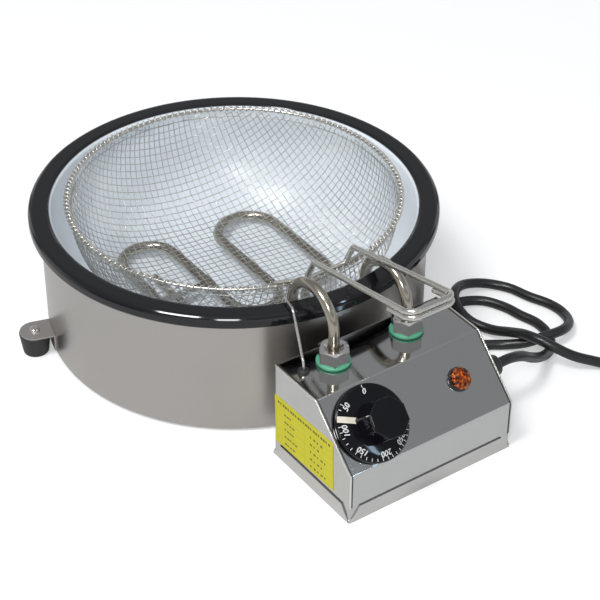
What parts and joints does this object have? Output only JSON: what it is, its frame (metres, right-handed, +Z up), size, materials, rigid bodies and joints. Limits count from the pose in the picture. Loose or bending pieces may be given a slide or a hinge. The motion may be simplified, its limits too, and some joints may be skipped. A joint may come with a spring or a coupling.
{
  "type": "deep_fryer",
  "caption": "Table-top electric deep fryer: round jacket with an enamelled bowl, a hook-on steel control box with immersion element, dial and lamp, and a wire mesh basket",
  "frame": {"origin": "On the table, on the axis of the round jacket.", "axes": "+Z up from the table; -Y from the jacket towards the control box; +X to the right of someone facing the dial."},
  "size_m": [0.5765, 0.515, 0.1713],
  "materials": {
    "brushed_steel": "satin brushed stainless",
    "polished_steel": "polished stainless",
    "zinc": "zinc plated",
    "rubber": "matt black rubber",
    "enamel": "gloss enamel, black rim and pale blue-grey inside",
    "element_steel": "dull heat-darkened steel",
    "green_gasket": "green fibre gasket",
    "white_ceramic": "white ceramic",
    "moulded_white": "moulded off-white",
    "black_plastic": "black moulded plastic",
    "gloss_black": "gloss black with white numbers",
    "amber_lens": "amber moulded lens",
    "brown_wire": "brown sleeve",
    "blue_wire": "blue sleeve",
    "green_wire": "green and yellow sleeve",
    "bright_wire": "bright tinned wire",
    "cord_black": "black sheath"
  },
  "bodies": {
    "base": {"jacket_shell": "brushed_steel", "base_plate": "brushed_steel", "base_screws": "zinc", "foot_brackets": "brushed_steel", "rubber_feet": "rubber", "foot_screws": "zinc"},
    "bowl": {"bowl": "enamel"},
    "head": {"box_shell": "polished_steel", "box_tray": "brushed_steel", "tray_screws": "zinc", "element_tube": "element_steel", "element_fittings": "zinc", "element_gaskets": "green_gasket", "element_locknuts": "zinc", "element_insulators": "white_ceramic", "element_pins": "zinc", "thermostat_body": "moulded_white", "thermostat_screws": "zinc", "capillary_tube": "element_steel", "sensor_bulb": "element_steel", "bulb_bracket": "brushed_steel", "capillary_grommet": "rubber", "lamp_body": "black_plastic", "lamp_bezel": "black_plastic", "lamp_lens": "amber_lens", "terminal_block": "moulded_white", "terminal_screws": "zinc", "live_wires": "brown_wire", "neutral_wires": "blue_wire", "earth_stud": "zinc", "earth_nuts": "zinc", "earth_wire": "green_wire", "cord_gland": "black_plastic", "gland_nut": "black_plastic", "cord_inner_end": "cord_black", "cord_lead": "cord_black", "cord_coil": "cord_black", "cord_tail": "cord_black", "plug_body": "cord_black", "plug_pins": "zinc"},
    "dial": {"dial_knob": "gloss_black", "dial_spindle": "zinc"},
    "basket": {"basket_mesh": "bright_wire", "basket_rings": "bright_wire", "basket_handle": "bright_wire", "handle_grip_wire": "bright_wire", "handle_brace": "bright_wire"}
  },
  "joints": [
    {"name": "bowl_lift", "type": "slide", "parent": "base", "child": "bowl", "axis": [0, 0, 1], "range_m": [0, 0.15]},
    {"name": "head_lift", "type": "slide", "parent": "bowl", "child": "head", "axis": [0, 0, 1], "range_m": [0, 0.15]},
    {"name": "basket_lift", "type": "slide", "parent": "head", "child": "basket", "axis": [0, 0, 1], "range_m": [0, 0.13]},
    {"name": "dial_turn", "type": "hinge", "parent": "head", "child": "dial", "pos_m": [-0.0425, -0.24243, 0.06332], "axis": [0, 0.6907, -0.7231], "range_deg": [0, 230]}
  ]
}
